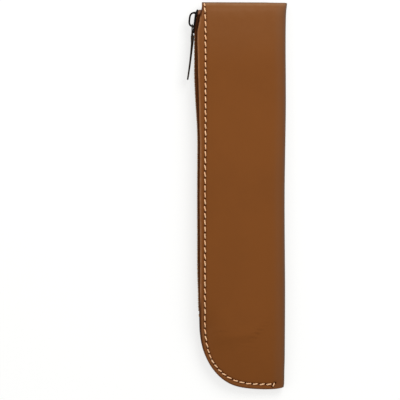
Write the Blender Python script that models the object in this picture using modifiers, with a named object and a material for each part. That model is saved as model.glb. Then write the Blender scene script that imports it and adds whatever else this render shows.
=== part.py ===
"""Slim leather pencil case with a zip along one long side.

Units are metres and +Z is up.  The case lies on its back leaf: Z = 0 is the flat back,
+Y runs to the closed top end, the zip is at -X and the fold of the leather at +X.
The origin is the middle of the flat back.
"""

import math

import bmesh
import bpy
from mathutils import Matrix, Vector

# Driving sizes of the leather panel
CASE_LENGTH = 0.205
CASE_WIDTH = 0.0452
MOUTH_X = -0.0229
FOLD_LEAN = 0.0005
FOLD_FLARE = 0.0008
FOLD_FLARE_LENGTH = 0.012
LEATHER = 0.0013
MOUTH_THICKNESS = 0.0126
FOLD_THICKNESS = 0.0090
TOP_ROLL = 0.0055
SEAM_GAP = 0.0003

# Free edge of the panel: mouth edge, cut-back top corner, rounded bottom corner
MOUTH_BULGE = 0.0013
MOUTH_BULGE_LENGTH = 0.150
NECK_DROP = 0.0145
NOTCH_SETBACK = 0.00115
NOTCH_LENGTH = 0.0026
CORNER_WIDTH = 0.0318
CORNER_HEIGHT = 0.0315
CORNER_SQUARENESS = 0.89
FOOT_SETBACK = 0.0036
FOOT_LENGTH = 0.0050
FOOT_RISE = 0.0004
FOLD_FOOT_RISE = 0.0019

# Where the leaves part from the closing seam
MOUTH_RAMP = 0.018
SEAM_RAMP = 0.045
SEAM_RAMP_SHARE = 0.35
SEAM_FOOT_HEIGHT = 0.0034

# Stitching
STITCH_PITCH = 0.00361
STITCH_MARGIN = 0.0031
STITCH_NECK_DROP = 0.0085
STITCH_TOP_INSET = 0.00145
STITCH_TOP_DROP = 0.0027
SEAM_INSET = 0.00285
FOOT_INSET = 0.00325
STITCH_END_SETBACK = 0.00735
THREAD = 0.0005
THREAD_SINK = 0.00026
THREAD_DIP = 0.0001
GROOVE = 0.0015
TACK_START = (0.00075, -0.0009)
TACK_RUN = (0.0011, 0.0018)
INNER_THREAD = 0.0004
INNER_THREAD_FIT = 0.0001

# Zip
ZIP_STAND_OUT = 0.0013
ZIP_LEAN = 0.0006
SLIDER_DROP = 0.0096
TOOTH_PITCH = 0.0020
TOOTH_HEIGHT = 0.00075
TOOTH_REACH = 0.0007
CHAIN_HALF = 0.0020
CHAIN_SPINE = 0.0008
CHAIN_DEPTH = 0.0008
TAPE = 0.0005
TAPE_COVER = 0.00795
TAPE_BEND = 0.0008
TAPE_TOP_DROP = 0.0056
TAPE_BOTTOM_RISE = 0.0070
CHAIN_BOTTOM_RISE = 0.0103
STOP_LENGTH = 0.0016
STOP_DEPTH = 0.0015
STOP_EDGE = 0.0001
TOP_STOP_DEPTH = 0.0008
TOP_STOP_START = 0.0023
FIT = 0.0003

# Slider and pull
SLIDER_LENGTH = 0.0110
SLIDER_NOSE_HALF = 0.0024
SLIDER_NOSE_DROP = 0.0008
SLIDER_CHEEK_HALF = 0.0035
SLIDER_SHOULDER_HALF = 0.0039
SLIDER_SHOULDER_RISE = 0.0029
SLIDER_WAIST_HALF = 0.0032
SLIDER_WAIST_DROP = 0.0025
SLIDER_CORNER = 0.00055
SLIDER_TIP = math.radians(4.0)
PLATE = 0.0005
PLATE_GAP = 0.0018
LIP_WIDTH = 0.0006
LIP_DEPTH = 0.00025
LIP_LENGTH = 0.0066
LIP_INSET = 0.0001
WEDGE_HALF = 0.0009
WEDGE_TOP_HALF = 0.00063
WEDGE_SHOULDER = 0.0015
WEDGE_LENGTH = 0.0044
BRIDGE_LENGTH = 0.0082
BRIDGE_RISE = 0.0029
BRIDGE_WIRE = 0.0007
BRIDGE_WIDTH = 0.0016
BRIDGE_SQUARENESS = 0.65
PULL_LENGTH = 0.0284
PULL_THICKNESS = 0.0012
PULL_NECK_WIDTH = 0.0040
PULL_NECK_TURN = 60
PULL_TIP_WIDTH = 0.0050
PULL_EYE_BAR = 0.0008
PULL_EYE_LENGTH = 0.0031
PULL_LEAN = math.radians(4.6)
PIVOT_DROP = 0.0027
PIVOT_HEIGHT = 0.0009

# Mesh fineness
FOLD_STEPS = 4
LEAF_STEPS = 8
ROLL_STEPS = 4
MOUTH_ROWS = 13
MOUTH_ROW_BIAS = 1.7
CORNER_ROWS = 9
CORNER_STEP = math.radians(1.0)
SEAM_SAMPLES = 24
STITCH_SAMPLES = 8
TAPE_STEPS = 4
TAPE_BEND_STEPS = 2
BRIDGE_STEPS = 14
ARC_STEPS = 8
WELD = 1e-6

# Places that follow from the sizes
TOP_Y = CASE_LENGTH / 2
BOTTOM_Y = -CASE_LENGTH / 2
FOLD_X = MOUTH_X + CASE_WIDTH
ROLL_Y = TOP_Y - TOP_ROLL
NECK_Y = TOP_Y - NECK_DROP
MOUTH_END_Y = BOTTOM_Y + CORNER_HEIGHT
MOUTH_MID = MOUTH_THICKNESS / 2
NOTCH_X = MOUTH_X + NOTCH_SETBACK
FOOT_X = FOLD_X - FOOT_SETBACK
SEAM_HALF = LEATHER + SEAM_GAP / 2
TAPE_TOP_Y = TOP_Y - TAPE_TOP_DROP
TAPE_BOTTOM_Y = MOUTH_END_Y + TAPE_BOTTOM_RISE
TAPE_INNER_X = MOUTH_X + TAPE_COVER
CHAIN_BOTTOM_Y = MOUTH_END_Y + CHAIN_BOTTOM_RISE
ZIP_REST_X = MOUTH_X - ZIP_STAND_OUT
ZIP_REST_Y = TOP_Y - SLIDER_DROP
ZIP_SLOPE = ZIP_LEAN / (ZIP_REST_Y - CHAIN_BOTTOM_Y)


def clamp(value, low, high):
    return max(low, min(high, value))


def mix(start, end, share):
    return start + (end - start) * share


def smooth(share):
    share = clamp(share, 0.0, 1.0)
    return share * share * (3.0 - 2.0 * share)


def level_off(share):
    """Rise from 0 to 1 that arrives flat."""
    share = clamp(share, 0.0, 1.0)
    return 1.0 - (1.0 - share) ** 2


def clear_scene():
    for item in list(bpy.data.objects):
        bpy.data.objects.remove(item, do_unlink=True)


def make_collection(name):
    collection = bpy.data.collections.new(name)
    bpy.context.scene.collection.children.link(collection)
    return collection


def make_material(name, colour, roughness, metallic=0.0):
    material = bpy.data.materials.new(name)
    material.use_nodes = True
    shader = material.node_tree.nodes["Principled BSDF"]
    shader.inputs["Base Color"].default_value = (*colour, 1.0)
    shader.inputs["Roughness"].default_value = roughness
    shader.inputs["Metallic"].default_value = metallic
    return material


# The panel's outline

def mouth_edge_x(y):
    """Free edge along the mouth: a slight bow that draws in towards the top corner."""
    bow = (min(y, NECK_Y) - (MOUTH_END_Y + SEAM_GAP)) / MOUTH_BULGE_LENGTH
    edge = MOUTH_X - MOUTH_BULGE * bow * bow
    neck_length = TOP_Y - NOTCH_LENGTH - NECK_Y
    return mix(edge, NOTCH_X, clamp((y - NECK_Y) / neck_length, 0.0, 1.0))


def fold_edge_x(y):
    flare = clamp(1.0 - (TOP_Y - y) / FOLD_FLARE_LENGTH, 0.0, 1.0)
    return FOLD_X + FOLD_LEAN * y / CASE_LENGTH + FOLD_FLARE * flare * flare


def corner_point(turn):
    """Point on the rounded bottom corner, turn running from 0 at the mouth to 90 degrees."""
    x = MOUTH_X + CORNER_WIDTH * (1.0 - max(0.0, math.cos(turn)) ** CORNER_SQUARENESS)
    y = MOUTH_END_Y - CORNER_HEIGHT * math.sin(turn) ** CORNER_SQUARENESS
    return x, y


def corner_inward(turn):
    """Direction into the case, square to the rounded corner's edge."""
    before = Vector(corner_point(max(0.0, turn - CORNER_STEP)))
    after = Vector(corner_point(min(math.pi / 2, turn + CORNER_STEP)))
    along = (after - before).normalized()
    return Vector((-along.y, along.x))


def foot_points():
    """Bottom edge from the rounded corner to the foot of the fold."""
    return [(FOOT_X - FOOT_LENGTH, BOTTOM_Y), (FOOT_X, BOTTOM_Y + FOOT_RISE)]


def fold_foot():
    y = BOTTOM_Y + FOLD_FOOT_RISE
    return fold_edge_x(y), y


def seam_line():
    turns = [math.pi / 2 * step / SEAM_SAMPLES for step in range(SEAM_SAMPLES + 1)]
    return [corner_point(turn) for turn in turns] + foot_points() + [fold_foot()]


def seam_nearness(x, y, line):
    """Distance to the closing seam, and how far along the seam its nearest point lies."""
    best, share = math.inf, 0.0
    for step in range(len(line) - 1):
        (ax, ay), (bx, by) = line[step], line[step + 1]
        run_x, run_y = bx - ax, by - ay
        along = ((x - ax) * run_x + (y - ay) * run_y) / (run_x * run_x + run_y * run_y)
        along = clamp(along, 0.0, 1.0)
        distance = math.hypot(x - ax - run_x * along, y - ay - run_y * along)
        if distance < best:
            best, share = distance, (step + along) / (len(line) - 1)
    return best, share


def full_thickness(x):
    """Thickness of the case away from its seams: a wedge, thicker at the mouth."""
    share = (x - MOUTH_X) / (FOLD_X - MOUTH_X)
    return mix(MOUTH_THICKNESS, FOLD_THICKNESS, share)


def leaf_level(x, y, line):
    """Middle height and half thickness of the case over a point of its plan."""
    distance, share = seam_nearness(x, y, line)
    ramp = mix(MOUTH_RAMP, SEAM_RAMP, smooth(share / SEAM_RAMP_SHARE))
    rise = level_off(distance / ramp)
    seam_height = mix(MOUTH_MID, SEAM_FOOT_HEIGHT, smooth(share))
    full = full_thickness(x)
    return mix(seam_height, full / 2, rise), mix(SEAM_HALF, full / 2, rise)


def leaf_surface(x, y, side, inset, line):
    """Height of a leaf's face, side +1 for the front leaf, inset 0 outside, LEATHER inside."""
    middle, half = leaf_level(x, y, line)
    reach = (y - ROLL_Y) / (TOP_ROLL - inset)
    lift = math.sqrt(max(0.0, 1.0 - max(0.0, reach) ** 2))
    return middle + side * (half - inset) * lift


def mouth_heights():
    """Heights of the mesh rows along the mouth, closer together where the seam begins."""
    heights = [ROLL_Y]
    for step in range(MOUTH_ROWS + 1):
        share = (1.0 - step / MOUTH_ROWS) ** MOUTH_ROW_BIAS
        heights.append(mix(MOUTH_END_Y, NECK_Y, share))
    return heights


# Leather panel

def panel_rows():
    """Rows of the panel as (edge point, fold y, roll angle), top end first."""
    rows = []
    for step in range(ROLL_STEPS):
        angle = math.pi / 2 * (1.0 - step / ROLL_STEPS)
        rows.append((None, None, angle))
    rows += [((mouth_edge_x(y), y), y, 0.0) for y in mouth_heights()]
    foot = fold_foot()[1]
    last = CORNER_ROWS + len(foot_points())
    for step in range(1, last + 1):
        if step <= CORNER_ROWS:
            edge = corner_point(math.pi / 2 * step / CORNER_ROWS)
        else:
            edge = foot_points()[step - CORNER_ROWS - 1]
        rows.append((edge, mix(MOUTH_END_Y, foot, step / last), 0.0))
    return rows


def panel_point(row, column, side, inset, line):
    """One corner of the panel's mesh on a leaf's outer or inner face."""
    edge, fold_y, angle = row
    if edge is None:
        y = ROLL_Y + (TOP_ROLL - inset) * math.sin(angle)
        edge, fold_y = (mouth_edge_x(y), y), y
    fold_x = fold_edge_x(fold_y)
    radius = leaf_level(fold_x - FOLD_THICKNESS / 2, fold_y, line)[1]
    start_x = fold_x - radius
    turn = 0.0
    if column <= LEAF_STEPS:
        x = mix(edge[0], start_x, column / LEAF_STEPS)
    else:
        turn = math.pi / 2 * (column - LEAF_STEPS) / FOLD_STEPS
        x = start_x + (radius - inset) * math.sin(turn)
    y = mix(edge[1], fold_y, (x - edge[0]) / (fold_x - edge[0]))
    middle, half = leaf_level(x, y, line)
    lift = math.cos(turn) * math.cos(angle)
    return x, y, middle + side * (half - inset) * lift


def make_panel(line, material, collection):
    """The one leather panel: front leaf, fold and back leaf, closed at the top end."""
    rows = panel_rows()
    columns = LEAF_STEPS + FOLD_STEPS + 1
    mesh = bmesh.new()
    grids = {}
    for side in (1, -1):
        for inset in (0.0, LEATHER):
            grids[side, inset] = [
                [mesh.verts.new(panel_point(row, column, side, inset, line)) for column in range(columns)]
                for row in rows
            ]
    for grid in grids.values():
        for upper, lower in zip(grid, grid[1:]):
            for column in range(columns - 1):
                mesh.faces.new((upper[column], upper[column + 1], lower[column]))
                mesh.faces.new((upper[column + 1], lower[column + 1], lower[column]))
    for side in (1, -1):
        outer, inner = grids[side, 0.0], grids[side, LEATHER]
        for step in range(len(rows) - 1):
            mesh.faces.new((outer[step][0], outer[step + 1][0], inner[step + 1][0], inner[step][0]))
        for column in range(columns - 1):
            mesh.faces.new((outer[-1][column], outer[-1][column + 1], inner[-1][column + 1], inner[-1][column]))
    bmesh.ops.remove_doubles(mesh, verts=mesh.verts, dist=WELD)
    bmesh.ops.triangulate(mesh, faces=mesh.faces)
    bmesh.ops.recalc_face_normals(mesh, faces=mesh.faces)
    return finish_mesh("leather_panel", mesh, material, collection, math.radians(50))


def finish_mesh(name, mesh, material, collection, sharp=math.radians(35)):
    data = bpy.data.meshes.new(name)
    mesh.to_mesh(data)
    mesh.free()
    data.shade_smooth()
    data.set_sharp_from_angle(angle=sharp)
    data.materials.append(material)
    item = bpy.data.objects.new(name, data)
    collection.objects.link(item)
    return item


# Stitching

def stitch_outline():
    """Plan points of the stitch line from the top end to the bar tack by the fold."""
    points = [Vector((NOTCH_X + STITCH_TOP_INSET, TOP_Y - STITCH_TOP_DROP))]
    mouth_start = Vector((MOUTH_X + STITCH_MARGIN, TOP_Y - STITCH_NECK_DROP))
    seam_start = Vector((MOUTH_X + SEAM_INSET, MOUTH_END_Y))
    for step in range(STITCH_SAMPLES + 1):
        points.append(mouth_start.lerp(seam_start, step / STITCH_SAMPLES))
    for step in range(1, SEAM_SAMPLES + 1):
        turn = math.pi / 2 * step / SEAM_SAMPLES
        edge = Vector(corner_point(turn))
        inset = mix(SEAM_INSET, FOOT_INSET, step / SEAM_SAMPLES)
        points.append(edge + corner_inward(turn) * inset)
    points.append(Vector((FOLD_X - STITCH_END_SETBACK, BOTTOM_Y + FOOT_INSET)))
    return points


def walk(points, pitch):
    """Points spaced evenly, by about the pitch, from a polyline's start to its end."""
    lengths = [(end - start).length for start, end in zip(points, points[1:])]
    count = round(sum(lengths) / pitch)
    step = sum(lengths) / count
    found = [points[0].copy()]
    left = step
    for start, end, length in zip(points, points[1:], lengths):
        while left <= length and len(found) < count:
            found.append(start.lerp(end, left / length))
            left += step
        left -= length
    return [*found, points[-1].copy()]


def thread_points(plan, side, inset, offset, dip, crests, line):
    """Needle holes and crests of a run of stitches, following a leaf's face."""
    points = []
    for start, end in zip(plan, plan[1:]):
        for share in (0.0, *crests):
            depth = dip if share == 0.0 else 0.0
            x, y = start.lerp(end, share)
            z = leaf_surface(x, y, side, inset, line)
            points.append(Vector((x, y, z + side * (offset - depth))))
    x, y = plan[-1]
    points.append(Vector((x, y, leaf_surface(x, y, side, inset, line) + side * (offset - dip))))
    return points


def make_tube(name, points, diameter, collection, sides=0):
    curve = bpy.data.curves.new(name, "CURVE")
    curve.dimensions = "3D"
    curve.bevel_depth = diameter / 2
    curve.bevel_resolution = sides
    curve.use_fill_caps = True
    spline = curve.splines.new("POLY")
    spline.points.add(len(points) - 1)
    for target, point in zip(spline.points, points):
        target.co = (*point, 1.0)
    item = bpy.data.objects.new(name, curve)
    collection.objects.link(item)
    return item


def curve_to_mesh(item, name, material, collection):
    """A closed mesh object in place of a curve object."""
    bpy.context.view_layer.update()
    graph = bpy.context.evaluated_depsgraph_get()
    data = bpy.data.meshes.new_from_object(item.evaluated_get(graph))
    mesh = bmesh.new()
    mesh.from_mesh(data)
    mesh.transform(item.matrix_world)
    bmesh.ops.remove_doubles(mesh, verts=mesh.verts, dist=WELD)
    bmesh.ops.recalc_face_normals(mesh, faces=mesh.faces)
    bpy.data.meshes.remove(data)
    bpy.data.objects.remove(item, do_unlink=True)
    return finish_mesh(name, mesh, material, collection)


def cut_groove(panel, side, line, plan, material, cutters):
    """Crease pressed into a leaf's face by the line of stitches."""
    path = [plan[0] + (plan[0] - plan[1]).normalized() * THREAD] + plan
    path.append(plan[-1] + (plan[-1] - plan[-2]).normalized() * THREAD)
    points = [Vector((p.x, p.y, leaf_surface(p.x, p.y, side, 0.0, line))) for p in path]
    tube = make_tube("groove", points, GROOVE, cutters, sides=1)
    name = "front_groove_cutter" if side > 0 else "back_groove_cutter"
    cutter = curve_to_mesh(tube, name, material, cutters)
    cutter.hide_render = True
    cutter.display_type = "WIRE"
    cut = panel.modifiers.new(name, "BOOLEAN")
    cut.operation = "DIFFERENCE"
    cut.object = cutter


def make_stitching(panel, line, material, leather, collection, cutters):
    plan = walk(stitch_outline(), STITCH_PITCH)
    tack = [plan[-1] + Vector(TACK_START)]
    tack.append(tack[0] + Vector(TACK_RUN))
    for side, name in ((1, "front_needle_thread"), (-1, "back_needle_thread")):
        cut_groove(panel, side, line, plan + tack, leather, cutters)
        points = thread_points(plan + tack, side, 0.0, -THREAD_SINK, THREAD_DIP, (0.25, 0.75), line)
        curve_to_mesh(make_tube("thread", points, THREAD, collection), name, material, collection)
    low = TAPE_BOTTOM_Y + STITCH_PITCH
    inner = [point for point in plan if low < point.y < TAPE_TOP_Y - STITCH_PITCH]
    offset = -(FIT + TAPE + FIT + INNER_THREAD / 2)
    for side, name in ((1, "front_bobbin_thread"), (-1, "back_bobbin_thread")):
        points = thread_points(inner, side, LEATHER, offset, -INNER_THREAD_FIT, (0.5,), line)
        curve_to_mesh(make_tube("thread", points, INNER_THREAD, collection), name, material, collection)


def make_top_seam_thread(line, material, collection):
    """Thread of the blind seam, seen only from inside, under the top end."""
    y = TOP_Y - LEATHER - FIT - INNER_THREAD / 2
    start_x = NOTCH_X + STITCH_TOP_INSET + LEATHER
    end_x = fold_edge_x(y) - FOLD_THICKNESS / 2
    count = round((end_x - start_x) / STITCH_PITCH)
    points = []
    for step in range(count * 2 + 1):
        x = mix(start_x, end_x, step / (count * 2))
        middle = leaf_level(x, y, line)[0]
        points.append(Vector((x, y - (step % 2) * FIT, middle)))
    curve_to_mesh(make_tube("thread", points, INNER_THREAD, collection), "top_seam_thread", material, collection)


# Zip tapes, rows of teeth and stops

def zip_x(y):
    """The zip runs straight, leaning a little in towards its lower end."""
    return ZIP_REST_X + ZIP_SLOPE * (ZIP_REST_Y - y)


def make_zip_frame(collection):
    """Empty on the middle of the closed zip, its Y along the zip."""
    frame = bpy.data.objects.new("zip_frame", None)
    frame.location = (ZIP_REST_X, ZIP_REST_Y, MOUTH_MID)
    frame.rotation_euler.z = math.atan(ZIP_SLOPE)
    collection.objects.link(frame)
    return frame


def tape_section(y, side, line):
    """Across one tape: out of the chain, round the bend and in under the leather's margin."""
    x = zip_x(y)
    drop = FIT + TAPE / 2
    edge = mouth_edge_x(y)
    level = leaf_surface(edge, y, side, LEATHER, line) - side * drop
    start = MOUTH_MID + side * (CHAIN_HALF + FIT)
    bend = min(TAPE_BEND, abs(level - start) - FIT)
    points = [Vector((x, y, start))]
    for step in range(TAPE_BEND_STEPS + 1):
        turn = math.pi / 2 * step / TAPE_BEND_STEPS
        points.append(Vector((x + bend * (1 - math.cos(turn)), y, level - side * bend * (1 - math.sin(turn)))))
    for step in range(1, TAPE_STEPS + 1):
        inner_x = mix(edge + bend, TAPE_INNER_X, step / TAPE_STEPS)
        points.append(Vector((inner_x, y, leaf_surface(inner_x, y, side, LEATHER, line) - side * drop)))
    return points


def make_tape(side, line, material, collection):
    heights = [y for y in mouth_heights() if TAPE_BOTTOM_Y < y < TAPE_TOP_Y]
    rows = [tape_section(y, side, line) for y in (TAPE_TOP_Y, *heights, TAPE_BOTTOM_Y)]
    mesh = bmesh.new()
    grid = [[mesh.verts.new(point) for point in row] for row in rows]
    for upper, lower in zip(grid, grid[1:]):
        for column in range(len(upper) - 1):
            mesh.faces.new((upper[column], upper[column + 1], lower[column + 1], lower[column]))
    bmesh.ops.recalc_face_normals(mesh, faces=mesh.faces)
    name = "front_zip_tape" if side > 0 else "back_zip_tape"
    tape = finish_mesh(name, mesh, material, collection)
    thick = tape.modifiers.new("thickness", "SOLIDIFY")
    thick.thickness = TAPE
    thick.offset = 0.0
    return tape


def flat_outline(name, points, depth, material, collection, holes=()):
    """A plate from a closed outline of (along, across) points, standing across X."""
    curve = bpy.data.curves.new(name, "CURVE")
    curve.dimensions = "2D"
    curve.fill_mode = "BOTH"
    curve.extrude = depth / 2
    for outline in (points, *holes):
        spline = curve.splines.new("POLY")
        spline.points.add(len(outline) - 1)
        for target, (along, across) in zip(spline.points, outline):
            target.co = (across, along, 0.0, 1.0)
        spline.use_cyclic_u = True
    item = bpy.data.objects.new(name, curve)
    item.rotation_euler.y = math.radians(-90)
    collection.objects.link(item)
    return curve_to_mesh(item, name, material, collection)


def along_zip(y):
    """Distance along the zip frame's Y of a height on the case."""
    return (y - ZIP_REST_Y) * math.hypot(1.0, ZIP_SLOPE)


def make_teeth_row(side, material, frame, collection):
    """Teeth clamped on one tape's edge, as one comb whose teeth pass between the other row's."""
    low = along_zip(CHAIN_BOTTOM_Y)
    high = SLIDER_LENGTH / 2 - WEDGE_LENGTH - FIT
    root = CHAIN_HALF - CHAIN_SPINE
    points = [(high, CHAIN_HALF), (low, CHAIN_HALF), (low, root)]
    start = low + FIT + (TOOTH_PITCH / 2 if side < 0 else 0.0)
    while start + TOOTH_HEIGHT < high:
        end = start + TOOTH_HEIGHT
        points += [(start, root), (start, -TOOTH_REACH), (end, -TOOTH_REACH), (end, root)]
        start += TOOTH_PITCH
    points.append((high, root))
    name = "front_teeth_row" if side > 0 else "back_teeth_row"
    row = flat_outline(name, points, CHAIN_DEPTH, material, collection)
    row.rotation_euler.y = 0.0 if side > 0 else math.pi
    row.parent = frame
    return row


def make_stop(name, size, centre, material, frame, collection):
    mesh = bmesh.new()
    bmesh.ops.create_cube(mesh, size=1.0, matrix=Matrix.Diagonal((*size, 1.0)))
    item = finish_mesh(name, mesh, material, collection)
    item.location = centre
    item.parent = frame
    edge = item.modifiers.new("edge", "BEVEL")
    edge.width = STOP_EDGE
    edge.segments = 1


def make_stops(material, frame, collection):
    inner = WEDGE_HALF + FIT
    width = CHAIN_HALF - inner
    across = (CHAIN_HALF + inner) / 2
    along = TOP_STOP_START + STOP_LENGTH / 2
    for side, name in ((1, "front_top_stop"), (-1, "back_top_stop")):
        size = (TOP_STOP_DEPTH, STOP_LENGTH, width)
        make_stop(name, size, (0.0, along, side * across), material, frame, collection)
    size = (STOP_DEPTH, STOP_LENGTH, 2 * CHAIN_HALF)
    along = along_zip(CHAIN_BOTTOM_Y) - FIT - STOP_LENGTH / 2
    make_stop("bottom_stop", size, (0.0, along, 0.0), material, frame, collection)


# Slider and pull

def mirrored(half):
    """Closed outline from the half on the +across side, listed from the top down."""
    return half + [(along, -across) for along, across in reversed(half)]


def plate_half():
    end = SLIDER_LENGTH / 2
    nose, shoulder, waist = SLIDER_NOSE_HALF, SLIDER_SHOULDER_HALF, SLIDER_WAIST_HALF
    return [
        (end, nose),
        (end - SLIDER_NOSE_DROP, SLIDER_CHEEK_HALF),
        (SLIDER_SHOULDER_RISE, shoulder),
        (0.0, (waist + shoulder) / 2),
        (-SLIDER_WAIST_DROP, waist),
        (-end + SLIDER_CORNER, waist),
        (-end, waist - SLIDER_CORNER),
    ]


def join_shapes(base, others):
    for other in others:
        other.hide_render = True
        other.display_type = "WIRE"
        union = base.modifiers.new(other.name, "BOOLEAN")
        union.operation = "UNION"
        union.object = other


def lip_outline(side):
    """Strip along a plate's side that closes the slider round the tape."""
    low, high = -LIP_LENGTH / 2, LIP_LENGTH / 2
    outer = SLIDER_WAIST_HALF - LIP_INSET
    upper = SLIDER_SHOULDER_HALF - LIP_INSET
    points = [(high, upper), (low, outer), (low, outer - LIP_WIDTH), (high, upper - LIP_WIDTH)]
    return [(along, side * across) for along, across in points]


def make_slider_body(frame, material, collection, cutters):
    """Outer and inner plate held apart by the wedge that parts the teeth."""
    outer_x = -(PLATE_GAP + PLATE) / 2
    body = flat_outline("slider_body", mirrored(plate_half()), PLATE, material, collection)
    body.data.transform(Matrix.Translation((outer_x, 0.0, 0.0)))
    inner = flat_outline("slider_inner_plate", mirrored(plate_half()), PLATE, material, cutters)
    inner.data.transform(Matrix.Translation((-outer_x, 0.0, 0.0)))
    top = SLIDER_LENGTH / 2 - FIT
    half = [(top, WEDGE_TOP_HALF), (top - WEDGE_SHOULDER, WEDGE_HALF)]
    tip = top + FIT - WEDGE_LENGTH
    wedge_points = half + [(tip, 0.0)] + [(along, -across) for along, across in reversed(half)]
    wedge = flat_outline("slider_wedge", wedge_points, PLATE_GAP + PLATE, material, cutters)
    lips = []
    depth = LIP_DEPTH + PLATE / 2
    shift = PLATE_GAP / 2 + PLATE / 2 - depth / 2
    for plate_side in (1, -1):
        for side in (1, -1):
            name = f"slider_lip_{'inner' if plate_side > 0 else 'outer'}_{'front' if side > 0 else 'back'}"
            lip = flat_outline(name, lip_outline(side), depth, material, cutters)
            lip.data.transform(Matrix.Translation((plate_side * shift, 0.0, 0.0)))
            lips.append(lip)
    parts = [wedge, inner, *lips]
    for item in (body, *parts):
        item.parent = frame
    join_shapes(body, parts)
    return body


def bridge_point(share):
    """Centre line of the bridge, share from 0 at its upper foot to 1 at its lower one."""
    foot_x = -(PLATE_GAP / 2 + PLATE + FIT)
    turn = math.pi * share
    along = BRIDGE_LENGTH / 2 * math.copysign(abs(math.cos(turn)) ** BRIDGE_SQUARENESS, math.cos(turn))
    rise = (BRIDGE_RISE - BRIDGE_WIRE / 2) * math.sin(turn) ** BRIDGE_SQUARENESS
    return Vector((foot_x - rise, along))


def make_bridge(frame, material, collection):
    """Bow over the outer plate that the pull hangs in."""
    steps = BRIDGE_STEPS
    centre = [bridge_point(step / steps) for step in range(steps + 1)]
    outer, inner = [], []
    for step, point in enumerate(centre):
        before, after = centre[max(0, step - 1)], centre[min(steps, step + 1)]
        tangent = (after - before).normalized()
        if step in (0, steps):
            tangent = Vector((-1.0 if step == 0 else 1.0, 0.0))
        normal = Vector((-tangent.y, tangent.x)) * (BRIDGE_WIRE / 2)
        outer.append(point - normal)
        inner.append(point + normal)
    curve = bpy.data.curves.new("slider_bridge", "CURVE")
    curve.dimensions = "2D"
    curve.fill_mode = "BOTH"
    curve.extrude = BRIDGE_WIDTH / 2
    spline = curve.splines.new("POLY")
    outline = outer + inner[::-1]
    spline.points.add(len(outline) - 1)
    for target, point in zip(spline.points, outline):
        target.co = (point.x, point.y, 0.0, 1.0)
    spline.use_cyclic_u = True
    item = bpy.data.objects.new("slider_bridge", curve)
    collection.objects.link(item)
    bridge = curve_to_mesh(item, "slider_bridge", material, collection)
    bridge.parent = frame
    return bridge


def arc(middle, radius, start, end):
    """Points round a circle on the middle line, turns in degrees from straight up."""
    points = []
    for step in range(ARC_STEPS + 1):
        turn = math.radians(mix(start, end, step / ARC_STEPS))
        points.append((middle + radius * math.cos(turn), radius * math.sin(turn)))
    return points


def make_pull(frame, material, collection):
    """Flat pull with a long eye; its origin is the bar of the eye, on the hinge's axis."""
    neck, tip = PULL_NECK_WIDTH / 2, PULL_TIP_WIDTH / 2
    bar = PULL_EYE_BAR / 2
    end = tip - PULL_LENGTH
    crown = bar - neck * math.cos(math.radians(PULL_NECK_TURN))
    outline = arc(crown, neck, -PULL_NECK_TURN, PULL_NECK_TURN)
    outline = [(min(along, bar), across) for along, across in outline]
    outline += arc(end, tip, 90, 270)
    eye_half = BRIDGE_WIDTH / 2 + FIT
    eye_end = -bar - PULL_EYE_LENGTH
    eye = [(-bar, eye_half), (-bar, -eye_half)]
    eye += arc(eye_end + eye_half, eye_half, 270, 90)
    pull = flat_outline("pull_tab", outline, PULL_THICKNESS, material, collection, holes=(eye,))
    pull.parent = frame
    return pull


def make_moving_frames(zip_frame, collection):
    slider_frame = bpy.data.objects.new("slider_frame", None)
    slider_frame.parent = zip_frame
    slider_frame.rotation_euler.z = -SLIDER_TIP
    pull_frame = bpy.data.objects.new("pull_frame", None)
    pull_frame.parent = slider_frame
    pull_frame.location = (-(PLATE_GAP / 2 + PLATE + PIVOT_HEIGHT), -PIVOT_DROP, 0.0)
    pull_frame.rotation_euler.z = SLIDER_TIP - math.atan(ZIP_SLOPE) - PULL_LEAN
    for frame in (slider_frame, pull_frame):
        collection.objects.link(frame)
    return slider_frame, pull_frame


def main():
    clear_scene()
    parts = make_collection("pencil_case")
    cutters = make_collection("cutters")
    leather = make_material("tan_leather", (0.223, 0.074, 0.019), 0.45)
    thread = make_material("cream_thread", (0.86, 0.56, 0.38), 0.7)
    cloth = make_material("brown_tape", (0.045, 0.016, 0.006), 0.85)
    brass = make_material("antique_brass", (0.11, 0.07, 0.03), 0.4, 1.0)
    black = make_material("gunmetal", (0.02, 0.017, 0.015), 0.35, 1.0)

    line = seam_line()
    panel = make_panel(line, leather, parts)
    make_stitching(panel, line, thread, leather, parts, cutters)
    make_top_seam_thread(line, thread, parts)

    zip_frame = make_zip_frame(parts)
    for side in (1, -1):
        make_tape(side, line, cloth, parts)
        make_teeth_row(side, brass, zip_frame, parts)
    make_stops(brass, zip_frame, parts)

    slider_frame, pull_frame = make_moving_frames(zip_frame, parts)
    make_slider_body(slider_frame, black, parts, cutters)
    make_bridge(slider_frame, black, parts)
    make_pull(pull_frame, black, parts)
    bpy.context.view_layer.update()


main()
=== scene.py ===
import math

import bmesh
import bpy
import numpy as np
from mathutils import Matrix, Vector


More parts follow.
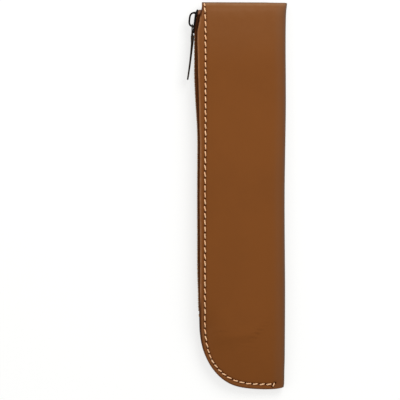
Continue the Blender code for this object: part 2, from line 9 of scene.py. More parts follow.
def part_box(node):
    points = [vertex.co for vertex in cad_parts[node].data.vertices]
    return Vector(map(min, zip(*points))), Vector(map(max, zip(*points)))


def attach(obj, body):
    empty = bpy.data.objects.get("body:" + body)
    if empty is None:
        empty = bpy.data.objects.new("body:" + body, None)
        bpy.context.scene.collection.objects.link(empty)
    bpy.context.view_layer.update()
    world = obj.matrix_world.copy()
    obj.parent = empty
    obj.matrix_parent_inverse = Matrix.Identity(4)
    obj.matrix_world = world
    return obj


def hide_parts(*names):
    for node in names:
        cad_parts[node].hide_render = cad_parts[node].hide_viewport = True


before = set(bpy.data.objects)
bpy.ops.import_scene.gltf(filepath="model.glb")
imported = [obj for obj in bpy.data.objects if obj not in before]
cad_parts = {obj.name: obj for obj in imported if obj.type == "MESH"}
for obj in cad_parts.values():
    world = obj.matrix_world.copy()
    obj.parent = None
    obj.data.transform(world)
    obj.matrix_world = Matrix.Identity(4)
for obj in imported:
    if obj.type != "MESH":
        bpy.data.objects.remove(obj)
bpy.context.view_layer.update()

# Looks of a slim leather pencil case.  Units are metres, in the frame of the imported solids:
# the case lies on its back at Z = 0, +Y runs to the closed top end, the zip is at -X.

MM = 0.001
PANEL_LOW, PANEL_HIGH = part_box("leather_panel")

# Shape of the leather panel, as its solid has it
TOP_Y = PANEL_HIGH.y
BOTTOM_Y = PANEL_LOW.y
MOUTH_X = -22.9 * MM
FOLD_X = 22.3 * MM
LEATHER = 1.3 * MM
MOUTH_THICKNESS = 12.6 * MM
FOLD_THICKNESS = 9 * MM
TOP_ROLL = 5.5 * MM
SEAM_GAP = 0.3 * MM
CORNER_HEIGHT = 31.5 * MM
FOOT_Y = -102.10 * MM
FOOT_START = 11 * MM
FOLD_FOOT_RISE = 1.2 * MM
FOOT_POWER = 3.0
MOUTH_RAMP = 18 * MM
SEAM_RAMP = 45 * MM
SEAM_RAMP_SHARE = 0.35
SEAM_FOOT_HEIGHT = 3.4 * MM

# Places that follow from those sizes
ROLL_Y = TOP_Y - TOP_ROLL
MOUTH_END_Y = BOTTOM_Y + CORNER_HEIGHT
MOUTH_MID = MOUTH_THICKNESS / 2
SEAM_HALF = LEATHER + SEAM_GAP / 2
FOLD_FOOT_Y = FOOT_Y + FOLD_FOOT_RISE

# Edges of the leather, as (height, x) places in millimetres joined by a smooth line
MOUTH_EDGE = (
    (-71, -22.95), (-64, -23.12), (-56, -22.84), (-46, -22.74), (-20, -22.80), (0, -22.95),
    (22, -22.80), (30, -22.82), (36, -23.02), (50, -23.28), (58, -23.52), (66, -23.82),
    (74, -23.92), (78, -24.02), (84, -24.10), (87.3, -23.96), (89.6, -23.48), (92.8, -22.90),
    (95, -22.66), (96.8, -22.38), (98.2, -22), (99.4, -21.78), (100.6, -21.75), (102.6, -21.75),
)
FOLD_EDGE = (
    (-100.9, 21.58), (-99.7, 21.80), (-98, 21.86), (-92, 21.96), (-86.5, 22.11), (-76, 22.20),
    (-50, 22.32), (-34, 22.23), (-20, 22.12), (-2, 22.07), (9, 22.14), (20, 22.31),
    (32, 22.50), (46, 22.70), (61, 22.70), (77, 22.60), (90, 22.66), (96, 22.80),
    (99, 23.00), (101, 23.24), (102.6, 23.30),
)
# The closing seam from the end of the mouth round the bottom corner, as (x, y) places
SEAM_PLACES = (
    (-22.95, -71), (-22.40, -75.4), (-21.54, -79.46), (-20.41, -82.92), (-19.00, -86.19),
    (-17.24, -89.36), (-15.15, -92.28), (-12.73, -94.93), (-9.98, -97.22), (-6.92, -99.07),
    (-3.59, -100.38), (-0.07, -101.18), (3.47, -101.66), (7.20, -101.95), (11, -102.10),
)
# The top edge falls a little towards the fold
TOP_DROP, TOP_DROP_START, TOP_DROP_RUN = 0.13 * MM, 10 * MM, 8 * MM

# Stitching: places of the line's bends, then the runs of even pitch from the top end to the tack
STITCH_PLACES = (
    (-20.30, 99.8), (-20.15, 97.3), (-19.87, 94.8), (-19.80, 91), (-19.80, 26), (-20.05, 14),
    (-20.08, -60), (-20.14, -66.3), (-20, -71), (-19.62, -75), (-18.95, -79), (-17.95, -82.8),
    (-16.6, -86.2), (-14.7, -89.2), (-12.4, -91.9), (-9.8, -94.2), (-7, -96.1), (-3.9, -97.5),
    (-0.6, -98.4), (2.9, -98.97), (6.5, -99.26), (10, -99.34), (15.55, -99.36),
)
STITCH_RUNS = ((46, 166.1), (4, 14.3), (6, 18.2), (7, 25.2))
STITCH_SHARE = 0.74
TACK_PLACES = ((15.5, -100.65), (16.9, -98.6))

# Surface relief of the leather
RIM = 0.30 * MM
SEAM_RIM = 1 * MM
RIM_GROWTH_Y, RIM_GROWTH = -50 * MM, 14 * MM
# Place and half width of the painted highlight along the top crest
CREST_Y, CREST_HALF = 101.3 * MM, 0.8 * MM
EDGE_LINE, EDGE_FADE = 1.15 * MM, 0.35 * MM
# Place and half width of a band of painted highlight on the face, just inside the closed edge's paint
EDGE_HIGHLIGHT, EDGE_HIGHLIGHT_HALF = 1.75 * MM, 0.45 * MM
# Reach and start of the dark band at the notch by the slider: edge paint, partly painted shade
NOTCH_LINE, NOTCH_LINE_Y = 0.95 * MM, 93.5 * MM
GROOVE_DEPTH = 0.40 * MM
GROOVE_HALF = 0.58 * MM
DIP_DEPTH = 0.16 * MM
DIP_HALF = 1.6 * MM
# Half width of the painted shade along the stitch groove
GROOVE_SHADE_HALF = 0.74 * MM
HOLE_DEPTH = 0.55 * MM
HOLE_HALF = 0.42 * MM
SEAM_VALLEY = 0.25 * MM
SEAM_VALLEY_HALF = 0.35 * MM

# Zip
ZIP_Y = TOP_Y - 9.6 * MM
CHAIN_BOTTOM_Y = MOUTH_END_Y + 10.3 * MM
# Middle of the chain, as (height, x) places: tucked in at the slider, bowed out below it
CHAIN_PLACES = (
    (-63, -22.98), (-58, -23.25), (-50, -23.45), (-42, -23.70), (-20, -23.82), (5, -23.87),
    (20, -23.78), (30, -23.76), (38, -24), (44, -24.38), (51, -24.82), (57, -25.12),
    (64, -25.36), (72, -25.34), (82, -25.38), (86, -25.38), (89.5, -25.02), (92.5, -24.52),
    (98, -23.30), (99, -23.10),
)
TOOTH_PITCH = 2 * MM
TOOTH_HEIGHT = 0.75 * MM
TOOTH_HALF = 0.48 * MM
CHAIN_HALF = 2 * MM
TAPE = 0.5 * MM
TAPE_TOP_Y = TOP_Y - 4.3 * MM
TAPE_END_Y = 95.4 * MM
TAPE_BOTTOM_Y = MOUTH_END_Y + 7 * MM
TAPE_INNER_X = MOUTH_X + 7.95 * MM
TAPE_BEND = 0.8 * MM
TAPE_SHIFT = 0.3 * MM
FIT = 0.3 * MM

# Slider and pull
SLIDER_LENGTH = 12.8 * MM
SLIDER_PLACE = (-24.52 * MM, 92.2 * MM)
SLIDER_NOSE, SLIDER_CURL = 2.6 * MM, 62.0
SLIDER_TURN = math.radians(-7.0)
SLIDER_FOOT_Y = 85.5 * MM
PLATE = 0.5 * MM
PLATE_GAP = 1.8 * MM
WEDGE_HALF = 0.9 * MM
WEDGE_LENGTH = 4.4 * MM
TOP_STOP_START = 2.3 * MM
CLAMP_DEPTH = 0.8 * MM
CLAMP_LENGTH = 1.6 * MM
CLAMP_REACH = 0.4 * MM
CLAMP_PLACE = 1.6 * MM
LOWER_CLAMP_GAP = 1.35 * MM
BRIDGE_LENGTH = 7.2 * MM
BRIDGE_SHIFT = 0.9 * MM
BRIDGE_RISE = 2.73 * MM
BRIDGE_WIRE = 0.95 * MM
BRIDGE_WIDTH = 1.6 * MM
PULL_LENGTH = 29 * MM
PULL_THICKNESS = 1.2 * MM
PULL_NECK_HALF = 2 * MM
PULL_TIP_HALF = 2.5 * MM
PULL_EYE_BAR = 0.8 * MM
PULL_EYE_LENGTH = 3.1 * MM
PULL_PLACE = (-26.5 * MM, 90.4 * MM)
PULL_TURN = math.radians(-2.2)
PULL_BEND = 2.2
# Along the pull, in millimetres: distance below its bar, how far it is set in, and its thickness
PULL_PROFILE = (
    (0.0, -0.3, 0.65), (4.2, -0.25, 0.65), (5.2, 0.0, 1.3), (6.2, 0.1, 1.7), (7.6, 0.18, 1.65),
    (10.0, 0.25, 1.35), (14.0, 0.2, 1.12), (18.5, 0.2, 1.0), (24.0, 0.2, 0.9), (29.5, 0.2, 0.8),
)

# The photograph's frame: 400 pixels a side, and what one pixel measures at the case's middle height
PIXEL = 0.528 * MM
FRAME_PIXELS = 400
ORIGIN_PIXEL = (243.0, 196.3)
CAMERA_DISTANCE = 1.4


def clamp(value, low, high):
    return np.minimum(np.maximum(value, low), high)


def mix(start, end, share):
    return start + (end - start) * share


def smooth(share):
    share = clamp(share, 0.0, 1.0)
    return share * share * (3.0 - 2.0 * share)


def bell(distance, half):
    """1 on a line or point and falling to nothing a few half widths away."""
    return np.exp(-((distance / half) ** 2))


def add_piece(name, mesh, materials, sharp):
    """A piece from its mesh, smooth but for edges sharper than so many degrees."""
    for material in materials:
        mesh.materials.append(material)
    mesh.shade_smooth()
    mesh.set_sharp_from_angle(angle=math.radians(sharp))
    item = bpy.data.objects.new(name, mesh)
    bpy.context.scene.collection.objects.link(item)
    return item


def link_mesh(name, vertices, faces, material, sharp):
    mesh = bpy.data.meshes.new(name)
    mesh.from_pydata([tuple(v) for v in vertices], [], faces)
    mesh.validate()
    return add_piece(name, mesh, [material], sharp)


def strip(upper, lower):
    """Faces between two rows of as many vertices."""
    return list(zip(upper, upper[1:], lower[1:], lower))


def tube_faces(rings, sides, first=0, closed=True):
    """Faces of a tube from its rings, each of so many sides."""
    faces = []
    for ring in range(rings - 1):
        for side in range(sides):
            a, b = (first + ring * sides + corner for corner in (side, (side + 1) % sides))
            faces.append((a, b, b + sides, a + sides))
    last = first + (rings - 1) * sides
    if closed:
        faces += [tuple(range(first, first + sides))[::-1], tuple(range(last, last + sides))]
    return faces


def directions(line):
    """Unit direction of a line at each of its points."""
    return [(after - before).normalized() for before, after in zip([line[0], *line], [*line[1:], line[-1]])]


# Materials

class Nodes:
    """Short way to build a material's nodes."""

    def __init__(self, name):
        self.material = bpy.data.materials.new(name)
        self.material.use_nodes = True
        self.tree = self.material.node_tree
        self.shader = self.tree.nodes["Principled BSDF"]
        self.place = self.tree.nodes.new("ShaderNodeTexCoord").outputs["Object"]

    def put(self, socket, value):
        if isinstance(value, bpy.types.NodeSocket):
            self.tree.links.new(value, socket)
        else:
            socket.default_value = value

    def finish(self, colour, roughness, specular, normal=None, metallic=0.0):
        """Puts the surface's values on the shader and gives the material."""
        inputs = self.shader.inputs
        self.put(inputs["Base Color"], colour)
        self.put(inputs["Roughness"], roughness)
        self.put(inputs["Specular IOR Level"], specular)
        self.put(inputs["Metallic"], metallic)
        if normal is not None:
            self.put(inputs["Normal"], normal)
        return self.material

    def math(self, operation, first, second=0.0):
        node = self.tree.nodes.new("ShaderNodeMath")
        node.operation = operation
        self.put(node.inputs[0], first)
        self.put(node.inputs[1], second)
        return node.outputs[0]

    def attribute(self, name):
        node = self.tree.nodes.new("ShaderNodeAttribute")
        node.attribute_name = name
        return node.outputs["Fac"]

    def stretched(self, scale):
        node = self.tree.nodes.new("ShaderNodeMapping")
        self.put(node.inputs["Vector"], self.place)
        node.inputs["Scale"].default_value = scale
        return node.outputs["Vector"]

    def noise(self, size, detail=3.0, vector=None, roughness=0.5):
        """Soft noise whose features measure about size metres."""
        node = self.tree.nodes.new("ShaderNodeTexNoise")
        self.put(node.inputs["Vector"], vector or self.place)
        node.inputs["Scale"].default_value = 1.0 / size
        node.inputs["Detail"].default_value = detail
        node.inputs["Roughness"].default_value = roughness
        return node.outputs["Fac"]

    def cells(self, size, feature="F1"):
        node = self.tree.nodes.new("ShaderNodeTexVoronoi")
        node.feature = feature
        self.put(node.inputs["Vector"], self.place)
        node.inputs["Scale"].default_value = 1.0 / size
        return node.outputs["Distance"]

    def ramp(self, value, low, high, start=0.0, end=1.0):
        node = self.tree.nodes.new("ShaderNodeMapRange")
        node.interpolation_type = "SMOOTHSTEP"
        self.put(node.inputs["Value"], value)
        for name, number in zip(("From Min", "From Max", "To Min", "To Max"), (low, high, start, end)):
            node.inputs[name].default_value = number
        return node.outputs["Result"]

    def blend(self, share, first, second, kind="MIX"):
        node = self.tree.nodes.new("ShaderNodeMix")
        node.data_type = "RGBA"
        node.blend_type = kind
        sockets = [s for s in node.inputs if s.type == "RGBA"]
        self.put(node.inputs[0], share)
        for socket, value in zip(sockets, (first, second)):
            self.put(socket, (*value, 1.0) if isinstance(value, tuple) else value)
        return [s for s in node.outputs if s.type == "RGBA"][0]

    def uneven(self, name, size, low, high):
        """A mark of the mesh, made uneven by noise of a size."""
        return self.math("MULTIPLY", self.attribute(name), self.ramp(self.noise(size), 0.3, 0.7, low, high))

    def bump(self, height, distance, strength=1.0, below=None):
        node = self.tree.nodes.new("ShaderNodeBump")
        node.inputs["Distance"].default_value = distance
        node.inputs["Strength"].default_value = strength
        self.put(node.inputs["Height"], height)
        if below is not None:
            self.put(node.inputs["Normal"], below)
        return node.outputs["Normal"]


LEATHER_COLOUR = (0.199, 0.0635, 0.0126)
PAINT_COLOUR = (0.060, 0.0145, 0.0025)


def tint(colour, amount):
    return tuple(min(1.0, channel * amount) for channel in colour)


def leather_grain(nodes):
    """Fine close grain on slow sags, as a shader normal."""
    fine = nodes.noise(0.45 * MM, 4.0, roughness=0.6)
    soft = nodes.bump(fine, 0.03 * MM, 0.6)
    pebble = nodes.cells(0.75 * MM, "SMOOTH_F1")
    pebbled = nodes.bump(pebble, 0.04 * MM, 0.3, soft)
    sag = nodes.noise(9 * MM, 2.0)
    return nodes.bump(sag, 0.25 * MM, 0.2, pebbled)


def make_leather():
    """Smooth full-grain leather, with painted shade in its needle holes and stitch grooves, painted
    highlights along its rim and top crest, painted sheen and shade where it turns away, and edge paint at its
    seam.
    """
    nodes = Nodes("tan_leather")
    cloud = nodes.ramp(nodes.noise(30 * MM, 3.0), 0.3, 0.7)
    base = nodes.blend(cloud, tint(LEATHER_COLOUR, 0.97), tint(LEATHER_COLOUR, 1.03))
    warm = nodes.ramp(nodes.noise(6 * MM, 4.0), 0.35, 0.75, 0.0, 0.15)
    base = nodes.blend(warm, base, (0.218, 0.068, 0.0120))
    speck = nodes.ramp(nodes.noise(0.8 * MM, 4.0, roughness=0.7), 0.56, 0.72, 0.0, 0.16)
    base = nodes.blend(speck, base, tint(LEATHER_COLOUR, 0.65))
    # rim mark: painted highlight on the face's rounded rim
    base = nodes.blend(nodes.uneven("rim", 3 * MM, 0.45, 0.75), base, (0.32, 0.145, 0.062))
    # painted highlight towards the top, strongest on the crest
    base = nodes.blend(nodes.uneven("top_highlight", 4 * MM, 0.85, 1.15), base, (0.31, 0.150, 0.068))
    # painted sheen and painted shade where the fold and the top edge turn away
    base = nodes.blend(nodes.uneven("sheen_and_shade", 5 * MM, 0.85, 1.1), base, (0.140, 0.084, 0.052))
    # press mark: painted shade along the stitch groove
    press = nodes.math("MULTIPLY", nodes.attribute("press"), 0.75)
    base = nodes.blend(press, base, (0.105, 0.029, 0.0045))
    base = nodes.blend(nodes.attribute("paint"), base, PAINT_COLOUR)
    # hole mark: painted shade in the needle holes
    base = nodes.blend(nodes.attribute("hole"), base, (0.048, 0.009, 0.001))
    roughness = nodes.ramp(nodes.noise(2.2 * MM, 3.0), 0.3, 0.7, 0.45, 0.56)
    return nodes.finish(base, roughness, 0.06, leather_grain(nodes))


def make_edge_paint():
    """Dark sealed edge of the leather, with faint brush waves."""
    nodes = Nodes("edge_paint")
    cloud = nodes.ramp(nodes.noise(1.6 * MM, 3.0), 0.3, 0.7)
    base = nodes.blend(cloud, tint(PAINT_COLOUR, 0.8), tint(PAINT_COLOUR, 1.25))
    waves = nodes.noise(0.5 * MM, 3.0, nodes.stretched((1.0, 0.35, 1.0)))
    normal = nodes.bump(waves, 0.05 * MM, 0.6)
    return nodes.finish(base, 0.6, 0.06, normal)


def make_flesh():
    """Fibrous flesh side of the leather, inside the case."""
    nodes = Nodes("leather_flesh_side")
    fibre = nodes.noise(0.35 * MM, 6.0, nodes.stretched((1.0, 0.4, 1.0)), 0.75)
    base = nodes.blend(nodes.ramp(fibre, 0.3, 0.7), (0.16, 0.075, 0.034), (0.27, 0.135, 0.066))
    return nodes.finish(base, 0.9, 0.2, nodes.bump(fibre, 0.12 * MM, 0.8))


def make_thread():
    """Waxed cream thread, with fibres along its twist."""
    nodes = Nodes("cream_thread")
    fibre = nodes.noise(0.12 * MM, 4.0, nodes.stretched((1.0, 0.3, 1.0)))
    patch = nodes.ramp(nodes.noise(2.5 * MM), 0.35, 0.65)
    base = nodes.blend(patch, (0.99, 0.57, 0.30), (1.0, 0.68, 0.41))
    base = nodes.blend(nodes.ramp(fibre, 0.35, 0.65, 0.0, 0.15), base, (0.72, 0.34, 0.15))
    normal = nodes.bump(fibre, 0.03 * MM, 0.5)
    return nodes.finish(base, 0.65, 0.15, normal)


def make_tape_cloth():
    """Dark brown zip tape: herringbone weave, deep shade inside the slider, and a paler end."""
    nodes = Nodes("brown_tape")
    across, along = nodes.attribute("across"), nodes.attribute("along")
    fold = nodes.math("PINGPONG", across, 1.1 * MM)
    slanted = nodes.math("ADD", along, fold)
    rib = nodes.math("SINE", nodes.math("MULTIPLY", slanted, math.tau / (0.52 * MM)))
    warp = nodes.math("SINE", nodes.math("MULTIPLY", across, math.tau / (0.30 * MM)))
    weave = nodes.math("ADD", nodes.math("MULTIPLY", rib, 0.35), nodes.math("MULTIPLY", warp, 0.15))
    weave = nodes.math("ADD", weave, 0.5)
    fuzz = nodes.noise(0.15 * MM, 4.0)
    base = nodes.blend(nodes.ramp(weave, 0.1, 0.9), (0.050, 0.0105, 0.0012), (0.112, 0.032, 0.0060))
    base = nodes.blend(nodes.ramp(fuzz, 0.4, 0.8, 0.0, 0.3), base, (0.150, 0.053, 0.015))
    shaded = nodes.ramp(along, SLIDER_FOOT_Y, SLIDER_FOOT_Y + 2.5 * MM, 0.0, 0.6)
    base = nodes.blend(shaded, base, (0.020, 0.0042, 0.0006))
    end = nodes.ramp(along, TAPE_END_Y, TAPE_END_Y + 1.2 * MM)
    base = nodes.blend(end, base, (0.270, 0.125, 0.066))
    normal = nodes.bump(fuzz, 0.03 * MM, 0.5, nodes.bump(weave, 0.08 * MM))
    return nodes.finish(base, 0.9, 0.08, normal)


def make_brass():
    """Antique brass, varying between darker and brighter patches."""
    nodes = Nodes("antique_brass")
    patch = nodes.ramp(nodes.noise(0.9 * MM, 4.0, roughness=0.6), 0.35, 0.7)
    base = nodes.blend(patch, (0.19, 0.100, 0.038), (0.42, 0.245, 0.100))
    roughness = nodes.ramp(nodes.noise(0.4 * MM), 0.3, 0.7, 0.3, 0.48)
    normal = nodes.bump(nodes.noise(0.2 * MM, 3.0), 0.02 * MM, 0.5)
    return nodes.finish(base, roughness, 0.5, normal, metallic=1.0)


def make_gunmetal(name, dark, rubbed):
    """Black lacquered metal with a fine tumbled surface."""
    nodes = Nodes(name)
    patch = nodes.ramp(nodes.noise(1.8 * MM, 4.0), 0.45, 0.75)
    base = nodes.blend(patch, dark, rubbed)
    scratch = nodes.noise(0.25 * MM, 4.0, nodes.stretched((1.0, 0.12, 1.0)))
    roughness = nodes.ramp(scratch, 0.3, 0.7, 0.40, 0.55)
    normal = nodes.bump(scratch, 0.015 * MM, 0.5)
    return nodes.finish(base, roughness, 0.07, normal)


# The leather panel's shape

def along_places(places, y):
    """x at a height, on the smooth line through places given as (height, x)."""
    heights, across = np.array(places).T * MM
    slopes = np.gradient(across, heights)
    index = np.clip(np.searchsorted(heights, y) - 1, 0, len(heights) - 2)
    step = heights[index + 1] - heights[index]
    share = clamp((y - heights[index]) / step, 0.0, 1.0)
    rise = share * share * (3.0 - 2.0 * share)
    start = slopes[index] * step * (share - 2.0 * share**2 + share**3)
    end = slopes[index + 1] * step * (share**3 - share**2)
    return mix(across[index], across[index + 1], rise) + start + end


def through(places, steps):
    """Smooth line through evenly spaced (x, y) places given in millimetres."""
    points = [Vector(place) * MM for place in places]
    points = [points[0], *points, points[-1]]
    line = []
    for before, start, end, after in zip(points, points[1:], points[2:], points[3:]):
        for step in range(steps):
            share = step / steps
            rise = share * share * (3.0 - 2.0 * share)
            bend = (end - before) / 2 * share * (1.0 - share) ** 2
            bend -= (after - start) / 2 * share * share * (1.0 - share)
            line.append(start.lerp(end, rise) + bend)
    return [*line, points[-1]]


def mouth_edge_x(y):
    return along_places(MOUTH_EDGE, y)


def fold_edge_x(y):
    return along_places(FOLD_EDGE, y)


def foot_y(x):
    """Height of the bottom edge from the rounded corner to the fold."""
    share = clamp((x - FOOT_START) / (float(fold_edge_x(FOLD_FOOT_Y)) - FOOT_START), 0.0, 1.0)
    return FOOT_Y + FOLD_FOOT_RISE * share**FOOT_POWER


def seam_line():
    """The closing seam, coarsely: the rounded corner, then the foot of the case to the fold."""
    fold_x = float(fold_edge_x(FOLD_FOOT_Y))
    foot = [Vector((x, float(foot_y(x)))) for x in np.linspace(SEAM_PLACES[-1][0] * MM, fold_x, 4)]
    return through(SEAM_PLACES, 2) + foot[1:]


SEAM = seam_line()


def nearest_on(line, x, y):
    """Distance to a polyline, and the share of its steps at which the nearest point lies."""
    best = np.full(np.shape(x), np.inf)
    share = np.zeros(np.shape(x))
    for step, ((ax, ay), (bx, by)) in enumerate(zip(line, line[1:])):
        run_x, run_y = bx - ax, by - ay
        along = clamp(((x - ax) * run_x + (y - ay) * run_y) / (run_x**2 + run_y**2), 0.0, 1.0)
        distance = np.hypot(x - ax - run_x * along, y - ay - run_y * along)
        nearer = distance < best
        best = np.where(nearer, distance, best)
        share = np.where(nearer, (step + along) / (len(line) - 1), share)
    return best, share


def leaf_level(x, y):
    """Middle height and half thickness of the case over a point of its plan."""
    distance, share = nearest_on(SEAM, x, y)
    ramp = mix(MOUTH_RAMP, SEAM_RAMP, smooth(share / SEAM_RAMP_SHARE))
    rise = 1.0 - (1.0 - clamp(distance / ramp, 0.0, 1.0)) ** 2
    seam_height = mix(MOUTH_MID, SEAM_FOOT_HEIGHT, smooth(share))
    full = mix(MOUTH_THICKNESS, FOLD_THICKNESS, (x - MOUTH_X) / (FOLD_X - MOUTH_X))
    return mix(seam_height, full / 2, rise), mix(SEAM_HALF, full / 2, rise)


def leaf_surface(x, y, side, inset):
    middle, half = leaf_level(x, y)
    reach = np.maximum(0.0, (y - ROLL_Y) / (TOP_ROLL - inset))
    return middle + side * (half - inset) * np.sqrt(np.maximum(0.0, 1.0 - reach**2))


# Stitch line

def at_shares(line, shares):
    """Points at given shares of a polyline's length."""
    reach = np.cumsum([0.0] + [(after - before).length for before, after in zip(line, line[1:])])
    stops = np.asarray(shares) * reach[-1]
    x = np.interp(stops, reach, [point.x for point in line])
    y = np.interp(stops, reach, [point.y for point in line])
    return [Vector((float(a), float(b))) for a, b in zip(x, y)]


def needle_holes():
    """Holes of the row of stitches, spaced evenly within each of its runs."""
    stops = [0.0]
    for count, length in STITCH_RUNS:
        stops += [stops[-1] + length * (step + 1) / count for step in range(count)]
    return at_shares([Vector(place) * MM for place in STITCH_PLACES], np.array(stops) / stops[-1])


HOLES = needle_holes()
TACK = [Vector(place) * MM for place in TACK_PLACES]
STITCH_LINE = [Vector((HOLES[0].x, TOP_Y)), *HOLES]


def relief(x, y):
    """How far the stitching presses the leather in, with masks for the painted shade along its groove and in
    its needle holes.
    """
    distance = np.minimum(nearest_on(STITCH_LINE, x, y)[0], nearest_on(TACK, x, y)[0])
    hole = np.full(np.shape(x), np.inf)
    for point in (*HOLES, *TACK):
        hole = np.minimum(hole, np.hypot(x - point.x, y - point.y))
    press = bell(distance, GROOVE_HALF)
    holed = bell(hole, HOLE_HALF)
    depth = GROOVE_DEPTH * press + DIP_DEPTH * bell(distance, DIP_HALF) + HOLE_DEPTH * holed
    return depth, bell(distance, GROOVE_SHADE_HALF), holed


def sway(x, y):
    """Slow waves of soft leather, always inwards, from 0 to 1."""
    waves = np.sin(x / (6.1 * MM) + y / (23 * MM) + 0.7) + np.sin(y / (9.3 * MM) - x / (17 * MM))
    waves += 0.6 * np.sin(y / (4.7 * MM) + x / (5.3 * MM) + 2.0)
    return (waves + 2.6) / 5.2


SWAY_DEPTH = 0.10 * MM

# Mesh of the panel: rows run from the free edge to the fold, columns from the rim to the fold's crest
ROLL_ROWS = 16
ROW_STEP = 0.52 * MM
RIM_TURNS = [math.radians(a) for a in (0, 30, 60, 90)]
MARGIN = 5.2 * MM
MARGIN_COLUMNS = 15
LEAF_COLUMNS = 20
FOLD_COLUMNS = 12
INNER_SKIP = 4
SIDES = {1: "front", -1: "back"}
# Vertex marks that the leather material reads: painted shade along the stitch groove and in the needle holes,
# a painted highlight on the rim, edge paint (partly painted shade at the top notch), a painted highlight
# towards the top, and painted sheen and shade where the leather turns away.
MARKS = ("press", "hole", "rim", "paint", "top_highlight", "sheen_and_shade")


def fold_start(y):
    """Where the flat of a leaf meets the roll of the fold, and the roll's radius."""
    fold_x = fold_edge_x(y)
    radius = leaf_level(fold_x - FOLD_THICKNESS / 2, y)[1]
    return fold_x - radius, radius


def closing_edge():
    """Points along the free edge from the end of the mouth to the fold, with inward directions."""
    foot_end = float(fold_start(FOLD_FOOT_Y)[0])
    edge = through(SEAM_PLACES, 10)
    edge += [Vector((x, float(foot_y(x)))) for x in np.linspace(edge[-1].x, foot_end, 60)[1:]]
    length = sum((b - a).length for a, b in zip(edge, edge[1:]))
    points = at_shares(edge, np.linspace(0.0, 1.0, round(length / ROW_STEP) + 1))
    inward = [Vector((-along.y, along.x)) for along in directions(points)]
    inward[0] = Vector((1.0, 0.0))
    return points, inward


def panel_rows():
    """For each row: edge point, inward direction, fold point's height, roll angle."""
    rows = []
    for step in range(ROLL_ROWS):
        rows.append((Vector((0.0, ROLL_Y)), Vector((1.0, 0.0)), ROLL_Y, math.pi / 2 * (1 - step / ROLL_ROWS)))
    count = round((ROLL_Y - MOUTH_END_Y) / ROW_STEP)
    for y in np.linspace(ROLL_Y, MOUTH_END_Y, count + 1):
        edge = Vector((float(mouth_edge_x(y)), float(y)))
        rows.append((edge, Vector((1.0, 0.0)), float(y), 0.0))
    points, inward = closing_edge()
    low = points[-1].y
    for step, (point, direction) in enumerate(zip(points, inward)):
        if step:
            share = 1.0 - step / (len(points) - 1)
            eased = 0.45 * share + 0.55 * share**3
            rows.append((point, direction, mix(low, MOUTH_END_Y, eased), 0.0))
    return rows


def seam_share(y):
    """0 along the mouth, rising to 1 where the two leaves' edges lie together."""
    return smooth((RIM_GROWTH_Y - y) / RIM_GROWTH)


def paint_share(y):
    """How dark the closed edge's band is: full at the mouth's end, worn off round the corner."""
    return mix(0.22, 1.0, smooth((y + 88 * MM) / (16 * MM))) * seam_share(y)


def top_highlight_share(y):
    """Painted highlight on the face, growing towards the top and strongest on the crest."""
    near_top = 0.10 * smooth((y - 66 * MM) / (26 * MM)) + 0.13 * smooth((y - 92 * MM) / (8 * MM))
    return near_top + 0.6 * bell(y - CREST_Y, CREST_HALF)


def sheen_and_shade_share(x, y):
    """Painted sheen and painted shade: greyer and darker where the fold and the top edge turn away."""
    fold = x - fold_edge_x(y)
    share = 0.2 * smooth((fold + 7 * MM) / (4 * MM)) + 0.25 * smooth((fold + 2.2 * MM) / (1.4 * MM))
    share += 0.5 * smooth((fold + 0.9 * MM) / (0.8 * MM))
    return np.maximum(share, 0.7 * smooth((y - TOP_Y + 0.7 * MM) / (0.5 * MM)))


def column_table(length, rim):
    """Distances in from the rim for one row, and the rounding of the rim there."""
    rim = min(rim, length / 6)
    margin = max(rim, min(MARGIN, 0.45 * length))
    near = [(rim * (1 - math.cos(turn)), rim * (1 - math.sin(turn))) for turn in RIM_TURNS]
    near += [(mix(rim, margin, step / MARGIN_COLUMNS), 0.0) for step in range(1, MARGIN_COLUMNS + 1)]
    near += [(mix(margin, length, step / LEAF_COLUMNS), 0.0) for step in range(1, LEAF_COLUMNS + 1)]
    return near


